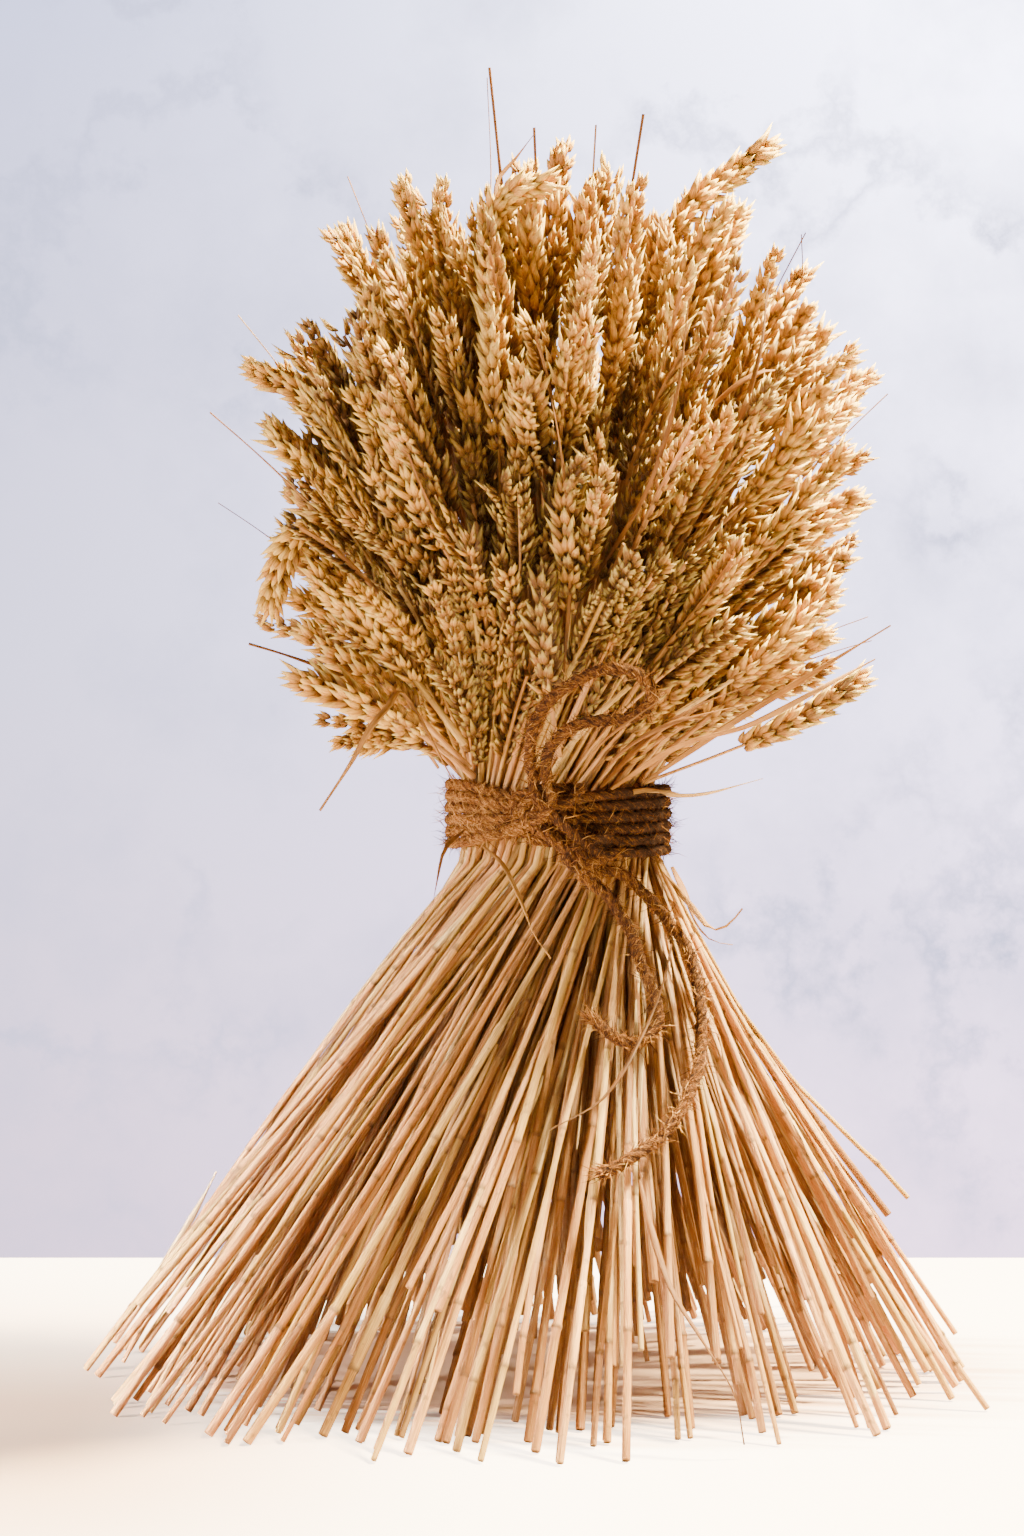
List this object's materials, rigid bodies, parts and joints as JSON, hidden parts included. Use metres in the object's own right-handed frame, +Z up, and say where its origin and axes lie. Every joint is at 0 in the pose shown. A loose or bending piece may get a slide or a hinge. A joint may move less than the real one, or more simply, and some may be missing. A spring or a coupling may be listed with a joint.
{
  "type": "bundle of dried wheat",
  "caption": "Upright sheaf of dried bread wheat, twisted and splayed at the foot, tied at the waist with a rope that ends in a bow loop and two loose tails.",
  "frame": {"origin": "on the floor under the middle of the sheaf; the waist is 14 mm to the right of it", "axes": "+Z up along the sheaf's axis, -Y towards the front with the knot, +X to the right seen from the front"},
  "size_m": [0.4347, 0.4219, 0.641],
  "materials": {
    "straw": "dry, matt, golden straw with darker ears",
    "coir": "rough, hairy, orange-brown"
  },
  "bodies": {
    "root": {"stalk_clump_01": "straw", "stalk_clump_02": "straw", "stalk_clump_03": "straw", "stalk_clump_04": "straw", "stalk_clump_05": "straw", "stalk_clump_06": "straw", "stalk_clump_07": "straw", "stalk_clump_08": "straw", "stalk_clump_09": "straw", "stalk_clump_10": "straw", "stalk_clump_11": "straw", "stalk_clump_12": "straw", "stalk_clump_13": "straw", "stalk_clump_14": "straw", "stalk_clump_15": "straw", "stalk_clump_16": "straw", "stalk_clump_17": "straw", "stalk_clump_18": "straw", "stalk_clump_19": "straw", "stalk_clump_20": "straw", "stalk_clump_21": "straw", "stalk_clump_22": "straw", "stalk_clump_23": "straw", "stalk_clump_24": "straw", "stalk_clump_25": "straw", "stalk_clump_26": "straw", "stalk_clump_27": "straw", "stalk_clump_28": "straw", "stalk_clump_29": "straw", "stalk_clump_30": "straw", "stalk_clump_31": "straw", "stalk_clump_32": "straw", "stalk_clump_33": "straw", "stalk_clump_34": "straw", "stalk_clump_35": "straw", "stalk_clump_36": "straw", "stalk_clump_37": "straw", "stalk_clump_38": "straw", "stalk_clump_39": "straw", "stalk_clump_40": "straw", "tie_winding": "coir", "tie_knot": "coir", "tie_tail_short": "coir", "tie_tail_long": "coir", "tie_bow_loop": "coir"}
  },
  "joints": []
}
